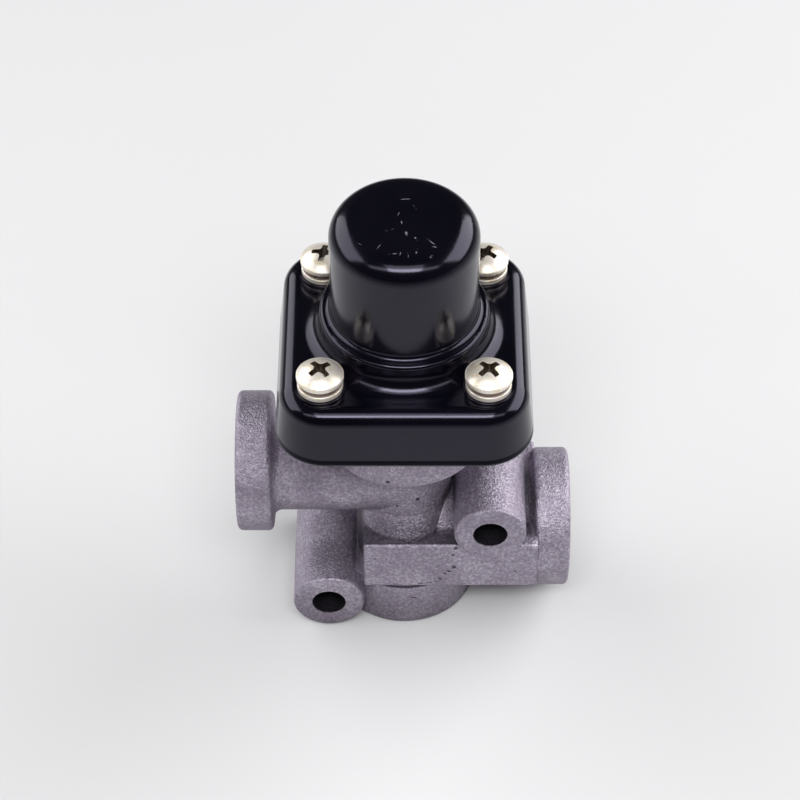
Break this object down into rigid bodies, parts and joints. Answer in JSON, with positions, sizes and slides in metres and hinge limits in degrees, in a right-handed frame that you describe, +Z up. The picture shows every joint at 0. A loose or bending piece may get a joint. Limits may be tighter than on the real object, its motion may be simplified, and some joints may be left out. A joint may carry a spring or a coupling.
{
  "type": "pressure protection valve",
  "caption": "Pneumatic pressure protection valve: cast body with offset inlet and outlet discs, mounting tubes and a black domed spring cover held by screws.",
  "frame": {"origin": "centre of the flat underside of the lower barrel", "axes": "+Z up the valve axis to the domed cover, -X to the inlet port, +X to the outlet port, -Y the side of the mounting faces"},
  "size_m": [0.0896, 0.066, 0.1333],
  "materials": {
    "cast_aluminium": "blasted casting, matt",
    "black_enamel": "gloss black",
    "yellow_zinc": "yellow passivated zinc",
    "spring_steel": "oiled spring wire",
    "turned_steel": "turned, bright",
    "brass": "turned",
    "seal_rubber": "moulded, matt",
    "turned_aluminium": "turned"
  },
  "bodies": {
    "housing": {"bottom_plug": "turned_aluminium", "check_spring": "spring_steel", "cover_screw_front_left": "yellow_zinc", "cover_screw_front_right": "yellow_zinc", "cover_screw_rear_left": "yellow_zinc", "cover_screw_rear_right": "yellow_zinc", "diaphragm": "seal_rubber", "lock_washer_front_left": "yellow_zinc", "lock_washer_front_right": "yellow_zinc", "lock_washer_rear_left": "yellow_zinc", "lock_washer_rear_right": "yellow_zinc", "plain_washer_front_left": "yellow_zinc", "plain_washer_front_right": "yellow_zinc", "plain_washer_rear_left": "yellow_zinc", "plain_washer_rear_right": "yellow_zinc", "plug_seal_ring": "seal_rubber", "pressure_spring": "spring_steel", "retaining_ring": "spring_steel", "setting_shim_1": "turned_steel", "setting_shim_2": "turned_steel", "spring_cover": "black_enamel", "upper_spring_seat": "turned_steel", "valve_body": "cast_aluminium"},
    "valve_plate": {"spring_plate": "turned_steel"},
    "check_valve": {"check_poppet": "brass", "check_seal": "seal_rubber"}
  },
  "joints": [
    {"name": "diaphragm_lift", "type": "slide", "parent": "housing", "child": "valve_plate", "axis": [0, 0, 1], "range_m": [0, 0.0025], "stiffness_N_per_m": 18000, "springref_m": -0.001, "deforming": ["pressure_spring", "diaphragm"]},
    {"name": "check_valve_lift", "type": "slide", "parent": "housing", "child": "check_valve", "axis": [0, 0, -1], "range_m": [0, 0.0025], "stiffness_N_per_m": 300, "springref_m": -0.002, "deforming": ["check_spring"]}
  ]
}
